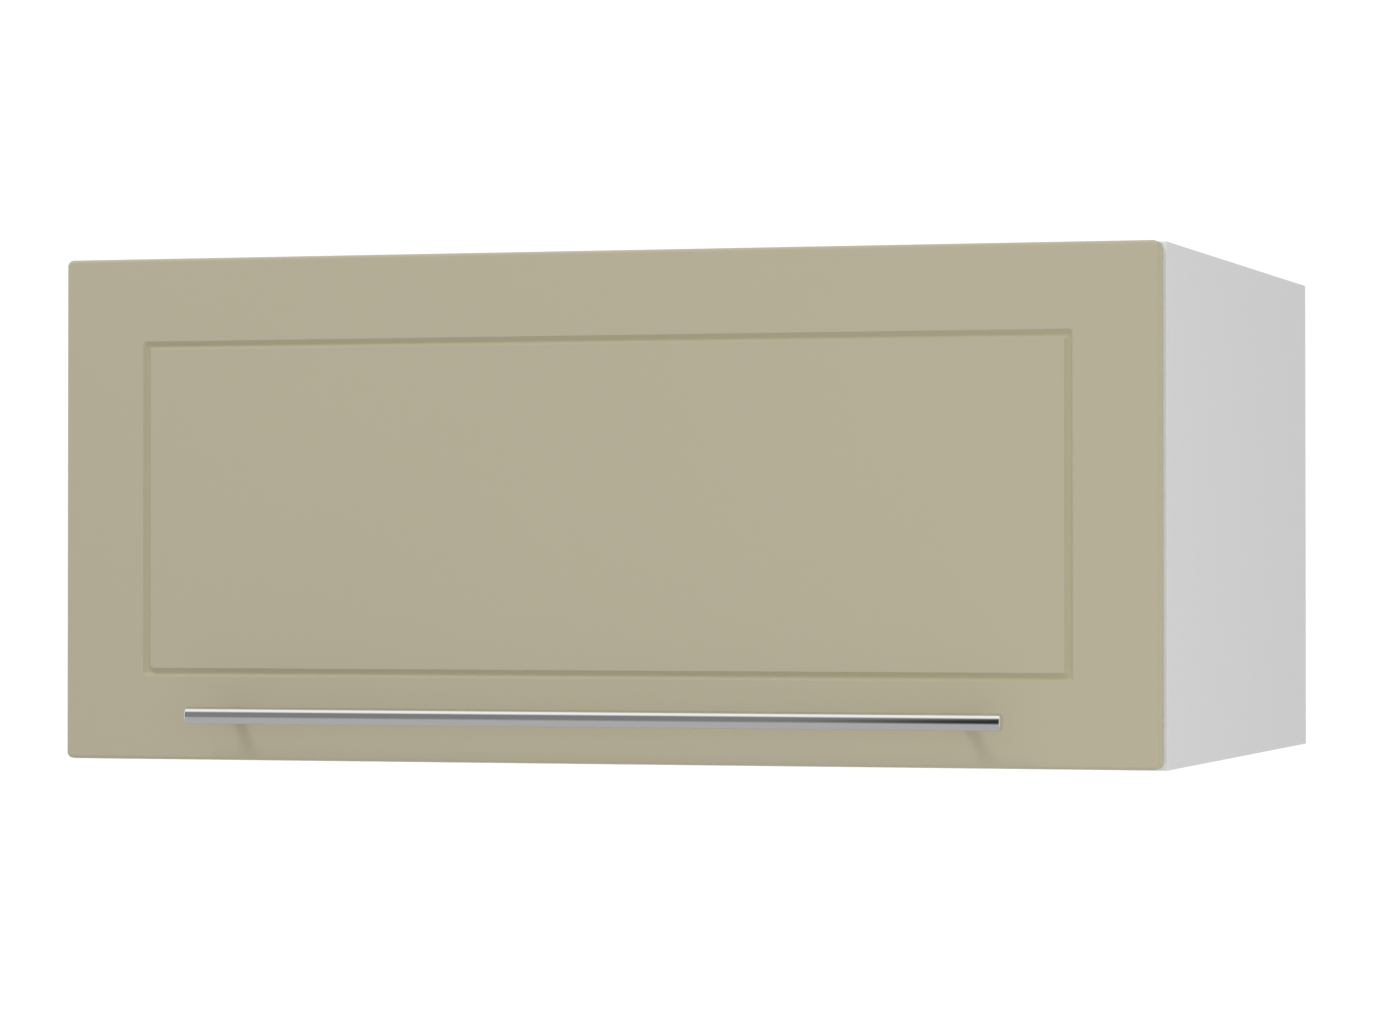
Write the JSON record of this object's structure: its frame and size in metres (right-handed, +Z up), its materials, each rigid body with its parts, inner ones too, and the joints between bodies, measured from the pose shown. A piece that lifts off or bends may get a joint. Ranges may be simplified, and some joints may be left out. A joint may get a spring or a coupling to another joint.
{
  "type": "lift up wall cabinet",
  "caption": "Wide shallow-height wall cabinet with a white board carcass and a top-hung lift-up door with a routed frame groove and a bar handle.",
  "frame": {"origin": "middle of the top panel's rear edge, at half the panel's thickness, on the wall plane", "axes": "+X along the width, +Y into the wall, +Z up; the door faces -Y"},
  "size_m": [0.8, 0.604, 0.358],
  "materials": {
    "door_foil": "matt olive-beige foil wrapped over the routed door board",
    "white_board": "white melamine-faced chipboard with matching edging",
    "back_board": "white painted hardboard",
    "handle_steel": "brushed stainless steel bar",
    "hinge_nickel": "nickel-plated pressed steel",
    "zinc": "zinc die casting, blue-white plated",
    "bright_steel": "zinc-plated steel screws and bolts",
    "lever_steel": "grey coated steel levers",
    "grey_plastic": "grey coated steel housing",
    "white_plastic": "off-white moulded plastic cover",
    "clear_pad": "clear soft pad"
  },
  "bodies": {
    "carcass": {"side_panel_left": "white_board", "side_panel_right": "white_board", "top_panel": "white_board", "bottom_panel": "white_board", "back_panel": "back_board", "cam_top_left_front": "zinc", "cam_top_left_rear": "zinc", "cam_bottom_left_front": "zinc", "cam_bottom_left_rear": "zinc", "cam_top_right_front": "zinc", "cam_top_right_rear": "zinc", "cam_bottom_right_front": "zinc", "cam_bottom_right_rear": "zinc", "cam_bolt_top_left_front": "bright_steel", "cam_bolt_top_left_rear": "bright_steel", "cam_bolt_bottom_left_front": "bright_steel", "cam_bolt_bottom_left_rear": "bright_steel", "cam_bolt_top_right_front": "bright_steel", "cam_bolt_top_right_rear": "bright_steel", "cam_bolt_bottom_right_front": "bright_steel", "cam_bolt_bottom_right_rear": "bright_steel", "hinge_arm_left": "hinge_nickel", "hinge_plate_left": "zinc", "lift_housing_left": "grey_plastic", "lift_cover_left": "white_plastic", "hanger_housing_left": "white_plastic", "hinge_arm_right": "hinge_nickel", "hinge_plate_right": "zinc", "lift_housing_right": "grey_plastic", "lift_cover_right": "white_plastic", "hanger_housing_right": "white_plastic"},
    "door": {"door_panel": "door_foil", "handle_bar": "handle_steel", "handle_post_left": "handle_steel", "handle_screw_left": "bright_steel", "door_bumper_left": "clear_pad", "hinge_cup_left": "hinge_nickel", "lift_bracket_left": "zinc", "handle_post_right": "handle_steel", "handle_screw_right": "bright_steel", "door_bumper_right": "clear_pad", "hinge_cup_right": "hinge_nickel", "lift_bracket_right": "zinc"},
    "hinge_outer_link_left": {"hinge_outer_link_left": "hinge_nickel"},
    "hinge_inner_link_left": {"hinge_inner_link_left": "hinge_nickel"},
    "lift_arm_left": {"lift_arm_left": "lever_steel"},
    "lift_link_left": {"lift_link_left": "lever_steel"},
    "hanger_carriage_left": {"hanger_carriage_left": "zinc"},
    "hanger_hook_left": {"hanger_hook_left": "zinc"},
    "hanger_depth_screw_left": {"hanger_depth_screw_left": "bright_steel"},
    "hanger_height_screw_left": {"hanger_height_screw_left": "bright_steel"},
    "hinge_outer_link_right": {"hinge_outer_link_right": "hinge_nickel"},
    "hinge_inner_link_right": {"hinge_inner_link_right": "hinge_nickel"},
    "lift_arm_right": {"lift_arm_right": "lever_steel"},
    "lift_link_right": {"lift_link_right": "lever_steel"},
    "hanger_carriage_right": {"hanger_carriage_right": "zinc"},
    "hanger_hook_right": {"hanger_hook_right": "zinc"},
    "hanger_depth_screw_right": {"hanger_depth_screw_right": "bright_steel"},
    "hanger_height_screw_right": {"hanger_height_screw_right": "bright_steel"}
  },
  "joints": [
    {"name": "flap_turn", "type": "hinge", "parent": "carcass", "child": "door", "pos_m": [0, -0.5685, 0.002], "axis": [-1, 0, 0], "range_deg": [0, 90]},
    {"name": "outer_link_turn_left", "type": "hinge", "parent": "carcass", "child": "hinge_outer_link_left", "pos_m": [-0.3, -0.561, -0.023], "axis": [-1, 0, 0], "range_deg": [-8, 0]},
    {"name": "inner_link_turn_left", "type": "hinge", "parent": "carcass", "child": "hinge_inner_link_left", "pos_m": [-0.3, -0.553, -0.018], "axis": [-1, 0, 0], "range_deg": [-26.5, 0]},
    {"name": "lift_arm_turn_left", "type": "hinge", "parent": "carcass", "child": "lift_arm_left", "pos_m": [-0.3608, -0.4985, -0.059], "axis": [-1, 0, 0], "range_deg": [0, 90]},
    {"name": "lift_link_turn_left", "type": "hinge", "parent": "lift_arm_left", "child": "lift_link_left", "pos_m": [-0.3575, -0.476, -0.159], "axis": [-1, 0, 0], "range_deg": [-90, 0]},
    {"name": "carriage_slide_left", "type": "slide", "parent": "carcass", "child": "hanger_carriage_left", "axis": [0, 0, 1], "range_m": [-0.005, 0.005]},
    {"name": "height_screw_turn_left", "type": "hinge", "parent": "carcass", "child": "hanger_height_screw_left", "pos_m": [-0.3758, -0.083, -0.024], "axis": [0, 1, 0], "range_deg": [-1441, 1441]},
    {"name": "hook_slide_left", "type": "slide", "parent": "hanger_carriage_left", "child": "hanger_hook_left", "axis": [0, 1, 0], "range_m": [-0.005, 0.002]},
    {"name": "depth_screw_turn_left", "type": "hinge", "parent": "hanger_carriage_left", "child": "hanger_depth_screw_left", "pos_m": [-0.3758, -0.0738, -0.045], "axis": [0, 1, 0], "range_deg": [-1441, 577]},
    {"name": "outer_link_turn_right", "type": "hinge", "parent": "carcass", "child": "hinge_outer_link_right", "pos_m": [0.3, -0.561, -0.023], "axis": [-1, 0, 0], "range_deg": [-8, 0]},
    {"name": "inner_link_turn_right", "type": "hinge", "parent": "carcass", "child": "hinge_inner_link_right", "pos_m": [0.3, -0.553, -0.018], "axis": [-1, 0, 0], "range_deg": [-26.5, 0]},
    {"name": "lift_arm_turn_right", "type": "hinge", "parent": "carcass", "child": "lift_arm_right", "pos_m": [0.3608, -0.4985, -0.059], "axis": [-1, 0, 0], "range_deg": [0, 90]},
    {"name": "lift_link_turn_right", "type": "hinge", "parent": "lift_arm_right", "child": "lift_link_right", "pos_m": [0.3575, -0.476, -0.159], "axis": [-1, 0, 0], "range_deg": [-90, 0]},
    {"name": "carriage_slide_right", "type": "slide", "parent": "carcass", "child": "hanger_carriage_right", "axis": [0, 0, 1], "range_m": [-0.005, 0.005]},
    {"name": "height_screw_turn_right", "type": "hinge", "parent": "carcass", "child": "hanger_height_screw_right", "pos_m": [0.3758, -0.083, -0.024], "axis": [0, 1, 0], "range_deg": [-1441, 1441]},
    {"name": "hook_slide_right", "type": "slide", "parent": "hanger_carriage_right", "child": "hanger_hook_right", "axis": [0, 1, 0], "range_m": [-0.005, 0.002]},
    {"name": "depth_screw_turn_right", "type": "hinge", "parent": "hanger_carriage_right", "child": "hanger_depth_screw_right", "pos_m": [0.3758, -0.0738, -0.045], "axis": [0, 1, 0], "range_deg": [-1441, 577]}
  ],
  "couplings": [
    {"joint": "outer_link_turn_left", "follows": "flap_turn", "ratio": -0.087},
    {"joint": "inner_link_turn_left", "follows": "flap_turn", "ratio": -0.29},
    {"joint": "lift_arm_turn_left", "follows": "flap_turn", "ratio": 1},
    {"joint": "lift_link_turn_left", "follows": "flap_turn", "ratio": -1},
    {"joint": "height_screw_turn_left", "follows": "carriage_slide_left", "rad_per_m": 5026.5},
    {"joint": "depth_screw_turn_left", "follows": "hook_slide_left", "rad_per_m": 5026.5},
    {"joint": "outer_link_turn_right", "follows": "flap_turn", "ratio": -0.087},
    {"joint": "inner_link_turn_right", "follows": "flap_turn", "ratio": -0.29},
    {"joint": "lift_arm_turn_right", "follows": "flap_turn", "ratio": 1},
    {"joint": "lift_link_turn_right", "follows": "flap_turn", "ratio": -1},
    {"joint": "height_screw_turn_right", "follows": "carriage_slide_right", "rad_per_m": 5026.5},
    {"joint": "depth_screw_turn_right", "follows": "hook_slide_right", "rad_per_m": 5026.5}
  ]
}
